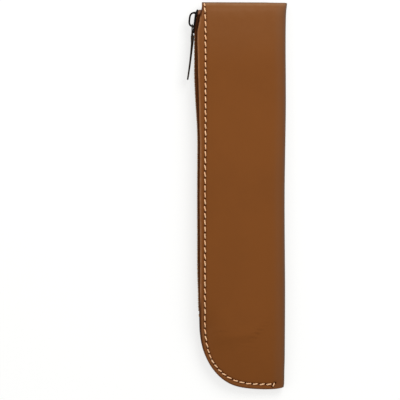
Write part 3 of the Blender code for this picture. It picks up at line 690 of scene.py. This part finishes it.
def panel_grid(rows, side, inner):
    """Vertices of one face of one leaf and its half of the fold, as an array of rows and columns."""
    base = LEATHER if inner else 0.0
    count = len(RIM_TURNS) + MARGIN_COLUMNS + LEAF_COLUMNS
    x = np.zeros((len(rows), count + FOLD_COLUMNS))
    y, lift, inset = x.copy(), np.ones_like(x), np.full_like(x, base)
    reach = np.ones_like(x)
    last_foot = rows[-1][0]
    for index, (edge, inward, fold_y, angle) in enumerate(rows):
        row_y = ROLL_Y + (TOP_ROLL - base) * math.sin(angle) if angle else fold_y
        start_x, radius = (float(v) for v in fold_start(row_y))
        if angle:
            edge = Vector((float(mouth_edge_x(row_y)), row_y))
        end = Vector((start_x, row_y))
        length = (end - edge).length
        rim_size = RIM if inner else mix(RIM, SEAM_RIM, float(seam_share(edge.y)))
        for column, (distance, rounding) in enumerate(column_table(length, rim_size)):
            share = distance / length if length > 1e-9 else 0.0
            s2, s3 = share * share, share**3
            point = edge * (2 * s3 - 3 * s2 + 1) + inward * length * (s3 - 2 * s2 + share)
            point += end * (3 * s2 - 2 * s3) + Vector((1.0, 0.0)) * length * (s3 - s2)
            x[index, column], y[index, column] = point
            reach[index, column] = distance
            inset[index, column] = base - rounding if inner else rounding
        for step in range(1, FOLD_COLUMNS + 1):
            turn = math.pi / 2 * step / FOLD_COLUMNS
            column = count + step - 1
            x[index, column] = start_x + (radius - base) * math.sin(turn)
            sink = float(foot_y(x[index, column])) - last_foot.y
            y[index, column] = row_y + max(0.0, sink) * math.exp(-(row_y - last_foot.y) / (2.5 * MM))
            lift[index, column] = math.cos(turn)
        lift[index] *= math.cos(angle)
        if angle:
            y[index] = ROLL_Y + (TOP_ROLL - inset[index]) * math.sin(angle)
    press, hole = np.zeros_like(x), np.zeros_like(x)
    if not inner:
        depth, press, hole = relief(x, y)
        fade = np.where(lift < 1.0, lift, 1.0)
        inset += (depth + SWAY_DEPTH * sway(x, y * (1 if side > 0 else -1))) * fade
    middle, half = leaf_level(x, y)
    z = middle + side * (half - inset) * lift
    valley = bell(z - middle, SEAM_VALLEY_HALF) * (y > ROLL_Y)
    rolled = smooth((y - ROLL_Y) / TOP_ROLL)
    y -= rolled * (SEAM_VALLEY * valley + TOP_DROP * smooth((x - TOP_DROP_START) / TOP_DROP_RUN))
    # rim mark: painted highlight along the face's rounded rim, weaker where the leaves close, with a band of
    # it just inside the closed edge's paint
    rim = np.zeros_like(x)
    rim[:, : len(RIM_TURNS) + 2] = (1.0, 1.0, 1.0, 1.0, 0.9, 0.3)
    edge_y = np.array([row[0].y for row in rows])[:, None]
    rim *= 1.0 - 0.8 * seam_share(edge_y)
    paint = paint_share(edge_y) * smooth((EDGE_LINE - reach) / EDGE_FADE)
    # Edge paint at the notch beside the slider, made darker as painted shade in the gap between the tape and
    # the leather
    notch_paint_and_shade = smooth((y - NOTCH_LINE_Y) / (2 * MM)) * smooth((NOTCH_LINE - reach) / (0.4 * MM))
    notch_paint_and_shade *= 1.0 - 0.5 * smooth((y - 98.5 * MM) / MM)
    paint = np.maximum(paint, 0.97 * notch_paint_and_shade)
    rim *= 1.0 - notch_paint_and_shade
    rim = np.maximum(rim, 0.6 * paint_share(edge_y) * bell(reach - EDGE_HIGHLIGHT, EDGE_HIGHLIGHT_HALF))
    marks = (press, hole, rim, paint, top_highlight_share(y), sheen_and_shade_share(x, y))
    return np.stack((x, y, z), -1), np.stack(marks, -1)


def make_panel(materials):
    """The leather panel, one closed skin with rounded painted edges: face, edge paint, flesh side."""
    rows = panel_rows()
    vertices, marks, faces = [], [], []
    grids = {}
    all_columns = list(range(len(RIM_TURNS) + MARGIN_COLUMNS + LEAF_COLUMNS + FOLD_COLUMNS))
    first_fold = len(all_columns) - FOLD_COLUMNS - 1
    # The flesh side inside the case needs fewer columns
    few = all_columns[: len(RIM_TURNS)] + all_columns[len(RIM_TURNS) + 2 : first_fold : INNER_SKIP]
    few += all_columns[first_fold:]
    for side in (1, -1):
        for material, columns in ((0, all_columns), (2, few)):
            grid, layers = panel_grid(rows, side, columns is few)
            start = sum(len(v) for v in vertices)
            vertices.append(grid[:, columns].reshape(-1, 3))
            marks.append(layers[:, columns].reshape(-1, len(MARKS)))
            index = start + np.arange(len(rows) * len(columns)).reshape(len(rows), len(columns))
            grids[side, material] = index
            for upper, lower in zip(index, index[1:]):
                faces += [(face, material) for face in strip(upper, lower)]
    for side in (1, -1):
        outer, inner = grids[side, 0], grids[side, 2]
        fold_end = slice(-FOLD_COLUMNS - 1, None)
        edge = strip(outer[:, 0], inner[:, 0]) + strip(outer[-1, fold_end], inner[-1, fold_end])
        faces += [(face, 1) for face in edge]
    mesh = bmesh.new()
    layers = [mesh.verts.layers.float.new(name) for name in MARKS]
    made = [mesh.verts.new(v) for v in np.concatenate(vertices)]
    for vertex, values in zip(made, np.concatenate(marks)):
        for layer, value in zip(layers, values):
            vertex[layer] = float(value)
    for face, material in faces:
        mesh.faces.new([made[i] for i in face]).material_index = material
    bmesh.ops.remove_doubles(mesh, verts=mesh.verts, dist=2e-6)
    bmesh.ops.dissolve_degenerate(mesh, edges=mesh.edges, dist=1e-7)
    bmesh.ops.recalc_face_normals(mesh, faces=mesh.faces)
    data = bpy.data.meshes.new("leather_case")
    mesh.to_mesh(data)
    mesh.free()
    return add_piece("leather_case", data, materials, 60)


# Stitches

STRAND = 0.185 * MM
STRAND_OFFSET = 0.18 * MM
STRAND_RINGS = 13
STRAND_SIDES = 6
TWISTS = 1.7
SLANT = 0.26 * MM
END_DEPTH = 0.75 * MM
CREST = {1: -0.08 * MM, -1: -0.36 * MM}
OVER_TOP = 0.5 * MM


def stitch_strand(start, end, side, phase, seed):
    """One strand of one stitch, rising out of a hole and going down into the next."""
    points = []
    run = end - start
    across = Vector((-run.y, run.x)).normalized()
    wobble = 0.05 * MM * math.sin(seed * 2.7)
    for ring in range(STRAND_RINGS):
        share = ring / (STRAND_RINGS - 1)
        swell = 1.0 - abs(2 * share - 1) ** 3.2
        place = start + run * mix(0.035, 0.965, share) + across * wobble * math.sin(math.pi * share)
        surface = float(leaf_surface(place.x, place.y, side, 0.0))
        centre = surface + side * mix(-END_DEPTH, CREST[side], swell)
        turn = math.tau * (TWISTS * share + phase)
        offset = STRAND_OFFSET * (0.75 + 0.25 * swell)
        shift = across * offset * math.cos(turn)
        points.append(Vector((place.x + shift.x, place.y + shift.y, centre + 0.8 * offset * math.sin(turn))))
    return points


def add_strand(vertices, faces, points):
    """A closed tube through the points."""
    first = len(vertices)
    for point, along in zip(points, directions(points)):
        right = along.cross(Vector((0.0, 0.0, 1.0))).normalized()
        up = right.cross(along)
        for side in range(STRAND_SIDES):
            turn = math.tau * side / STRAND_SIDES
            vertices.append(point + (right * math.cos(turn) + up * math.sin(turn)) * STRAND)
    faces.extend(tube_faces(len(points), STRAND_SIDES, first))


def make_stitches(side, material):
    """Row of slanted stitches, each twisted from three strands."""
    vertices, faces = [], []
    over_top = Vector((HOLES[0].x, TOP_Y - OVER_TOP))
    runs = [(over_top, HOLES[0])] + list(zip(HOLES, HOLES[1:])) + [tuple(TACK)]
    for number, (start, end) in enumerate(runs):
        run = (end - start).normalized()
        outward = Vector((run.y, -run.x))
        slant = SLANT * (0.8 + 0.35 * math.sin(number * 5.3))
        middle, half = (start + end) / 2, (end - start) / 2 * STITCH_SHARE
        start, end = middle - half + outward * slant, middle + half - outward * slant
        for strand in range(3):
            points = stitch_strand(start, end, side, strand / 3 + number * 0.21, number)
            add_strand(vertices, faces, points)
    return link_mesh(f"{SIDES[side]}_stitches", vertices, faces, material, 80)


# Zip

def chain_x(y):
    return along_places(CHAIN_PLACES, y)


def turned(place, turn):
    """Frame standing at a place of the mouth's middle, turned about Z."""
    return Matrix.Translation((*place, MOUTH_MID)) @ Matrix.Rotation(turn, 4, "Z")


def chain_frame(y):
    """Frame on the chain at a height, its Y along the chain."""
    slope = float(chain_x(y + TOOTH_PITCH) - chain_x(y - TOOTH_PITCH)) / (2 * TOOTH_PITCH)
    return turned((float(chain_x(y)), y), -math.atan(slope))


SLIDER_FRAME = turned(SLIDER_PLACE, SLIDER_TURN)
PULL_FRAME = turned(PULL_PLACE, PULL_TURN)
CORD = 0.42 * MM


def tape_line(y, side):
    """Middle line of a tape across the zip: cord, leg, bend and the part under the leather."""
    x = float(chain_x(y)) + TAPE_SHIFT * float(smooth((87 * MM - y) / (3 * MM)))
    edge = float(mouth_edge_x(y))
    drop = FIT + TAPE / 2
    level = float(leaf_surface(edge, y, side, LEATHER)) - side * drop
    start = MOUTH_MID + side * (CHAIN_HALF - 0.25 * MM)
    bend = min(TAPE_BEND, abs(level - start) - FIT)
    points = []
    straight = level - side * bend
    for step in range(6):
        points.append((x, mix(start, straight, step / 6)))
    for step in range(7):
        turn = math.pi / 2 * step / 6
        points.append((x + bend * (1 - math.cos(turn)), straight + side * bend * math.sin(turn)))
    for step in range(1, 9):
        inner_x = mix(edge + bend, TAPE_INNER_X, step / 8)
        points.append((inner_x, float(leaf_surface(inner_x, y, side, LEATHER)) - side * drop))
    return points


def make_tape(side, material):
    """One zip tape as a thin closed strip with a corded edge."""
    count = round((TAPE_TOP_Y - TAPE_BOTTOM_Y) / (1.2 * MM))
    heights = np.linspace(TAPE_TOP_Y, TAPE_BOTTOM_Y, count + 1)
    vertices, coordinates = [], []
    for y in heights:
        line = [Vector(p) for p in tape_line(y, side)]
        normals = [Vector((-along.y, along.x)) for along in directions(line)]
        across = np.cumsum([0.0] + [(after - before).length for before, after in zip(line, line[1:])])
        thick = [max(TAPE / 2, CORD * math.sqrt(max(0.0, 1 - ((a - CORD) / CORD) ** 2))) for a in across]
        order = range(len(line))
        for sign, indices in ((1, order), (-1, order[::-1])):
            for index in indices:
                place = line[index] + normals[index] * thick[index] * sign
                vertices.append((place.x, y, place.y))
                coordinates.append((across[index], y))
    ring = len(vertices) // len(heights)
    faces = tube_faces(len(heights), ring, closed=False)
    numbers = range(len(vertices))
    for end in (numbers[:ring], numbers[-ring:][::-1]):
        faces += strip(end[: ring // 2], end[::-1][: ring // 2])
    tape = link_mesh(f"{SIDES[side]}_tape", vertices, faces, material, 50)
    for attribute, index in (("across", 0), ("along", 1)):
        layer = tape.data.attributes.new(attribute, "FLOAT", "POINT")
        layer.data.foreach_set("value", [c[index] for c in coordinates])
    mesh = bmesh.new()
    mesh.from_mesh(tape.data)
    bmesh.ops.recalc_face_normals(mesh, faces=mesh.faces)
    mesh.to_mesh(tape.data)
    mesh.free()
    return tape


def flat_shape(outline, depth, bevel, holes=(), rounding=3):
    """A plate from a closed outline of (across, along) points in the XY plane, edges rounded."""
    curve = bpy.data.curves.new("shape", "CURVE")
    curve.dimensions = "2D"
    curve.fill_mode = "BOTH"
    curve.extrude = depth / 2 - bevel
    curve.bevel_depth = bevel
    curve.bevel_resolution = rounding
    curve.offset = -bevel
    for points in (outline, *holes):
        spline = curve.splines.new("POLY")
        spline.points.add(len(points) - 1)
        for target, (across, along) in zip(spline.points, points):
            target.co = (across, along, 0.0, 1.0)
        spline.use_cyclic_u = True
    item = bpy.data.objects.new("shape", curve)
    bpy.context.scene.collection.objects.link(item)
    bpy.context.view_layer.update()
    graph = bpy.context.evaluated_depsgraph_get()
    data = bpy.data.meshes.new_from_object(item.evaluated_get(graph))
    bpy.data.objects.remove(item, do_unlink=True)
    mesh = bmesh.new()
    mesh.from_mesh(data)
    bpy.data.meshes.remove(data)
    bmesh.ops.remove_doubles(mesh, verts=mesh.verts, dist=1e-6)
    bmesh.ops.recalc_face_normals(mesh, faces=mesh.faces)
    return mesh


def join_meshes(name, parts, material):
    """One piece from (bmesh, matrix) pairs."""
    joined = bpy.data.meshes.new(name)
    whole = bmesh.new()
    for mesh, matrix in parts:
        scratch = bpy.data.meshes.new("scratch")
        mesh.to_mesh(scratch)
        scratch.transform(matrix)
        whole.from_mesh(scratch)
        bpy.data.meshes.remove(scratch)
    bmesh.ops.recalc_face_normals(whole, faces=whole.faces)
    whole.to_mesh(joined)
    whole.free()
    return add_piece(name, joined, [material], 35)


def rounded(points, radius, steps=4):
    """Polygon with its corners rounded."""
    result = []
    for index, corner in enumerate(points):
        corner = Vector(corner)
        before, after = Vector(points[index - 1]), Vector(points[(index + 1) % len(points)])
        into, out = (before - corner), (after - corner)
        cut = min(radius, into.length * 0.45, out.length * 0.45)
        start, end = corner + into.normalized() * cut, corner + out.normalized() * cut
        for step in range(steps + 1):
            share = step / steps
            point = start * (1 - share) ** 2 + corner * 2 * share * (1 - share) + end * share**2
            result.append((point.x, point.y))
    return result


def tooth_mesh():
    """One tooth: a foot round the tape's cord and a rounded head with a small knob."""
    half = [(0.6, -0.72), (0.78, -0.50), (0.80, 0.35), (0.97, 0.95), (1.0, 1.95), (0.83, 2.12), (0.6, 2.12)]
    outline = [(d * TOOTH_HALF, a * MM) for d, a in half]
    outline += [(-d, a) for d, a in reversed(outline)]
    body = flat_shape(rounded(outline, 0.14 * MM, 3), TOOTH_HEIGHT, 0.10 * MM, rounding=2)
    bmesh.ops.create_uvsphere(
        body, u_segments=8, v_segments=5, radius=0.22 * MM,
        matrix=Matrix.Translation((0.0, -0.28 * MM, TOOTH_HEIGHT / 2 - 0.06 * MM)),
    )
    return body


def parting(along):
    """How far the rows have parted inside the slider."""
    return 1.25 * MM * smooth((along - 0.3 * MM) / (1.3 * MM))


def make_teeth(side, material):
    """Row of separate teeth on one tape, parting round the slider's wedge at its top end."""
    tooth = tooth_mesh()
    y = CHAIN_BOTTOM_Y + FIT + (TOOTH_PITCH / 2 if side < 0 else 0.0) + TOOTH_HEIGHT / 2
    upright = Matrix.Rotation(-math.pi / 2, 4, "X")
    if side > 0:
        upright @= Matrix.Diagonal((1.0, -1.0, 1.0, 1.0))
    parts = []
    while y + TOOTH_HEIGHT / 2 < ZIP_Y + TOP_STOP_START - 0.1 * MM:
        shift = Matrix.Translation((0.0, 0.0, side * float(parting(y - ZIP_Y))))
        parts.append((tooth, chain_frame(y) @ shift @ upright))
        y += TOOTH_PITCH
    row = join_meshes(f"{SIDES[side]}_teeth", parts, material)
    tooth.free()
    return row


def make_stops(material):
    """Clamps squeezed round the zip: one on each tape above the slider, and one round both below."""
    upper = ZIP_Y + TOP_STOP_START + CLAMP_LENGTH / 2
    lower = CHAIN_BOTTOM_Y - LOWER_CLAMP_GAP - CLAMP_LENGTH / 2
    half = CLAMP_DEPTH / 2
    stops = []
    for name, y, height, reach in (
        ("front_zip_clamp", upper, CLAMP_PLACE, CLAMP_REACH),
        ("back_zip_clamp", upper, -CLAMP_PLACE, CLAMP_REACH),
        ("lower_zip_clamp", lower, 0.0, CHAIN_HALF),
    ):
        outline = [(-half, -reach), (half, -reach), (half, reach), (-half, reach)]
        shape = flat_shape(rounded(outline, 0.3 * MM), CLAMP_LENGTH, 0.12 * MM)
        place = chain_frame(y) @ Matrix.Translation((0.0, 0.0, height)) @ Matrix.Rotation(math.pi / 2, 4, "X")
        stops.append(join_meshes(name, [(shape, place)], material))
        shape.free()
    return stops


def plate_outline():
    stretch = SLIDER_LENGTH / (11 * MM)
    half = [(2.4, 5.5), (3.5, 4.7), (3.9, 2.9), (3.55, 0.0), (3.2, -2.5), (3.2, -4.95), (2.65, -5.5)]
    half = [(a * MM, l * MM * stretch) for a, l in half]
    return rounded(half + [(-a, l) for a, l in reversed(half)], 0.7 * MM, 4)


def standing(depth_centre):
    """Turns a shape from the XY plane to stand across X, its across along Z."""
    return Matrix(((0, 0, 1, depth_centre), (0, 1, 0, 0), (1, 0, 0, 0), (0, 0, 0, 1)))


def curl(along):
    """How far the slider's nose curls in towards the leather."""
    return SLIDER_CURL * max(0.0, along - SLIDER_NOSE) ** 2


def make_slider(material):
    """Two plates with turned-in lips, held apart by the wedge."""
    centre = (PLATE_GAP + PLATE) / 2
    plate = flat_shape(plate_outline(), PLATE, 0.16 * MM)
    top = SLIDER_LENGTH / 2 - FIT
    half = [(0.63 * MM, top), (WEDGE_HALF, top - 1.5 * MM)]
    wedge = half + [(0.0, top + FIT - WEDGE_LENGTH)] + [(-a, l) for a, l in reversed(half)]
    core = flat_shape(rounded(wedge, 0.3 * MM, 3), PLATE_GAP + PLATE, 0.05 * MM)
    parts = [(plate, SLIDER_FRAME @ standing(side * centre)) for side in (1, -1)]
    parts.append((core, SLIDER_FRAME @ standing(0.0)))
    lip_depth = 0.55 * MM + PLATE / 2
    rim = [(3.40, 5.3), (3.82, 3.35), (3.47, 0.0), (3.12, -2.9), (3.12, -6.0)]
    lip = [(a * MM, l * MM) for a, l in rim] + [((a - 0.6) * MM, l * MM) for a, l in reversed(rim)]
    shift = PLATE_GAP / 2 + PLATE / 2 - lip_depth / 2
    for side in (1, -1):
        edge = flat_shape(rounded([(side * a, l) for a, l in lip], 0.2 * MM), lip_depth, 0.08 * MM)
        for face in (1, -1):
            parts.append((edge, SLIDER_FRAME @ standing(face * shift)))
    slider = join_meshes("zip_slider", parts, material)
    back = SLIDER_FRAME.inverted()
    for vertex in slider.data.vertices:
        place = back @ vertex.co
        place.x += curl(place.y)
        vertex.co = SLIDER_FRAME @ place
    return slider


def bow_place(angle):
    """How far the middle of the bridge's wire stands off the plate, and where along it."""
    rise = (BRIDGE_RISE - BRIDGE_WIRE / 2 + FIT) * max(0.0, math.sin(angle)) ** 0.65
    return -rise, BRIDGE_LENGTH / 2 * math.copysign(abs(math.cos(angle)) ** 0.65, math.cos(angle))


def make_bridge(material):
    """Wire bow on the outer plate, its feet flared into the plate."""
    foot = 0.1 * MM - (PLATE_GAP / 2 + PLATE)
    steps, sides = 28, 12
    vertices = []
    for step in range(steps + 1):
        off, along = bow_place(math.pi * step / steps)
        along += BRIDGE_SHIFT
        centre = Vector((foot + off + curl(along), along, 0.0))
        after = Vector(bow_place(math.pi * min(step + 0.5, steps) / steps))
        run = (after - Vector(bow_place(math.pi * max(step - 0.5, 0) / steps))).normalized()
        flare = 1.0 + 0.45 * bell((abs(2 * step / steps - 1) - 1) * 10, 1.0)
        for index in range(sides):
            c, s = math.cos(math.tau * index / sides), math.sin(math.tau * index / sides)
            a = math.copysign(abs(c) ** 0.6, c) * BRIDGE_WIRE / 2 * flare
            b = math.copysign(abs(s) ** 0.6, s) * BRIDGE_WIDTH / 2 * flare
            vertices.append(SLIDER_FRAME @ (centre + Vector((-run.y * a, run.x * a, b))))
    return link_mesh("zip_bridge", vertices, tube_faces(steps + 1, sides), material, 50)


def arc(middle, radius, start, end, steps=16):
    points = []
    for step in range(steps + 1):
        turn = math.radians(mix(start, end, step / steps))
        points.append((radius * math.sin(turn), middle + radius * math.cos(turn)))
    return points


def make_pull(material):
    """Flat pull, slightly wider towards its round tip, with a long eye."""
    bar = PULL_EYE_BAR / 2
    end = PULL_TIP_HALF - PULL_LENGTH
    crown = bar - PULL_NECK_HALF * 0.5
    top = [(a, min(l, bar)) for a, l in arc(crown, PULL_NECK_HALF, -60, 60)]
    outline = top + arc(end, PULL_TIP_HALF, 90, 270)
    eye_half = BRIDGE_WIDTH / 2 + FIT
    low = -bar - PULL_EYE_LENGTH
    eye = [(eye_half, -bar), (-eye_half, -bar)] + arc(low + eye_half, eye_half, 270, 90)
    plate = flat_shape(outline, PULL_THICKNESS, 0.28 * MM, holes=(rounded(eye[::-1], 0.2 * MM, 2),))
    down, inset, thick = np.array(PULL_PROFILE).T * MM
    for reach in down[1:-1]:
        everything = [*plate.verts, *plate.edges, *plate.faces]
        bmesh.ops.bisect_plane(plate, geom=everything, plane_co=(0.0, -reach, 0.0), plane_no=(0.0, 1.0, 0.0))
    for vertex in plate.verts:
        reach = -vertex.co.y
        vertex.co.z *= float(np.interp(reach, down, thick)) / PULL_THICKNESS
        vertex.co.z += float(np.interp(reach, down, inset)) - PULL_BEND * max(0.0, reach) ** 2
    return join_meshes("zip_pull", [(plate, PULL_FRAME @ standing(0.0))], material)


# Studio

FLOOR_GLOW = 0.68
WORLD_LEVEL = 0.52
KEY_POWER = 2.66
FILL_POWER = 0.66


def background_rays(tree):
    """1 for rays that see the white background: the camera's, and those in gloss and glass."""
    path = tree.nodes.new("ShaderNodeLightPath")
    seen = path.outputs["Is Camera Ray"]
    for name in ("Is Glossy Ray", "Is Transmission Ray"):
        node = tree.nodes.new("ShaderNodeMath")
        node.operation = "MAXIMUM"
        tree.links.new(seen, node.inputs[0])
        tree.links.new(path.outputs[name], node.inputs[1])
        seen = node.outputs[0]
    return seen


def make_floor():
    bpy.ops.mesh.primitive_plane_add(size=6.0, location=(0.0, 0.0, -0.00005))
    floor = bpy.context.object
    floor.name = "studio_floor"
    nodes = Nodes("studio_floor")
    tree = nodes.tree
    patch = nodes.ramp(nodes.noise(0.4, 2.0), 0.3, 0.7)
    base = nodes.blend(patch, (0.345, 0.345, 0.343), (0.36, 0.36, 0.358))
    nodes.finish(base, 0.9, 0.1)
    glow = tree.nodes.new("ShaderNodeEmission")
    glow.inputs["Color"].default_value = (1.0, 1.0, 0.99, 1.0)
    nodes.put(glow.inputs["Strength"], nodes.math("MULTIPLY", background_rays(tree), FLOOR_GLOW))
    total = tree.nodes.new("ShaderNodeAddShader")
    tree.links.new(nodes.shader.outputs[0], total.inputs[0])
    tree.links.new(glow.outputs[0], total.inputs[1])
    tree.links.new(total.outputs[0], tree.nodes["Material Output"].inputs["Surface"])
    floor.data.materials.append(nodes.material)


def make_world(strength):
    world = bpy.data.worlds.new("studio")
    world.use_nodes = True
    tree = world.node_tree
    background = tree.nodes["Background"]
    background.inputs["Color"].default_value = (1.0, 1.0, 1.0, 1.0)
    level = tree.nodes.new("ShaderNodeMapRange")
    tree.links.new(background_rays(tree), level.inputs["Value"])
    level.inputs["To Min"].default_value = strength
    level.inputs["To Max"].default_value = 1.0
    tree.links.new(level.outputs["Result"], background.inputs["Strength"])
    bpy.context.scene.world = world


def make_lamp(name, place, target, size, power):
    lamp = bpy.data.lights.new(name, "AREA")
    lamp.shape = "DISK"
    lamp.size = size
    lamp.energy = power
    item = bpy.data.objects.new(name, lamp)
    item.location = place
    item.rotation_euler = (Vector(target) - Vector(place)).to_track_quat("-Z", "Y").to_euler()
    bpy.context.scene.collection.objects.link(item)


def make_camera():
    """Straight above the middle of the photograph's frame."""
    camera = bpy.data.cameras.new("photo_camera")
    camera.sensor_width = 36.0
    width = PIXEL * FRAME_PIXELS
    camera.lens = camera.sensor_width * (CAMERA_DISTANCE - MOUTH_MID) / width
    camera.clip_start = 0.01
    item = bpy.data.objects.new("photo_camera", camera)
    middle = FRAME_PIXELS / 2
    item.location = ((middle - ORIGIN_PIXEL[0]) * PIXEL, (ORIGIN_PIXEL[1] - middle) * PIXEL, CAMERA_DISTANCE)
    bpy.context.scene.collection.objects.link(item)
    bpy.context.scene.camera = item


def main():
    bpy.context.scene.view_settings.view_transform = "Standard"
    make_camera()
    make_world(WORLD_LEVEL)
    make_lamp("key", (0.22, 0.42, 0.50), (0.0, 0.0, 0.0), 0.45, KEY_POWER)
    make_lamp("fill", (-0.45, -0.10, 0.55), (0.0, 0.0, 0.0), 0.5, FILL_POWER)
    make_floor()

    leather, paint, flesh = make_leather(), make_edge_paint(), make_flesh()
    thread, cloth, brass = make_thread(), make_tape_cloth(), make_brass()
    black = make_gunmetal("gunmetal", (0.0035, 0.002, 0.0014), (0.016, 0.008, 0.0045))
    worn = make_gunmetal("pull_metal", (0.016, 0.009, 0.0045), (0.048, 0.031, 0.019))

    stops = make_stops(brass)
    pieces = [
        (make_panel([leather, paint, flesh]), "case", "leather", "leather_panel"),
        (make_stitches(1, thread), "case", "thread", "front_needle_thread"),
        (make_stitches(-1, thread), "case", "thread", "back_needle_thread"),
        (make_tape(1, cloth), "case", "zip_tape", "front_zip_tape"),
        (make_tape(-1, cloth), "case", "zip_tape", "back_zip_tape"),
        (make_teeth(1, brass), "case", "zip_teeth", "front_teeth_row"),
        (make_teeth(-1, brass), "case", "zip_teeth", "back_teeth_row"),
        (stops[0], "case", "zip_teeth", "front_top_stop"),
        (stops[1], "case", "zip_teeth", "back_top_stop"),
        (stops[2], "case", "zip_teeth", "bottom_stop"),
        (make_slider(black), "slider", "slider_metal", "slider_body"),
        (make_bridge(black), "slider", "slider_metal", "slider_bridge"),
        (make_pull(worn), "pull", "slider_metal", "pull_tab"),
    ]
    for piece, body, slot, node in pieces:
        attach(piece, body)
        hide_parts(node)
    for name in ("front_bobbin_thread", "back_bobbin_thread", "top_seam_thread"):
        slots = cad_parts[name].data.materials
        slots.clear()
        slots.append(thread)


main()
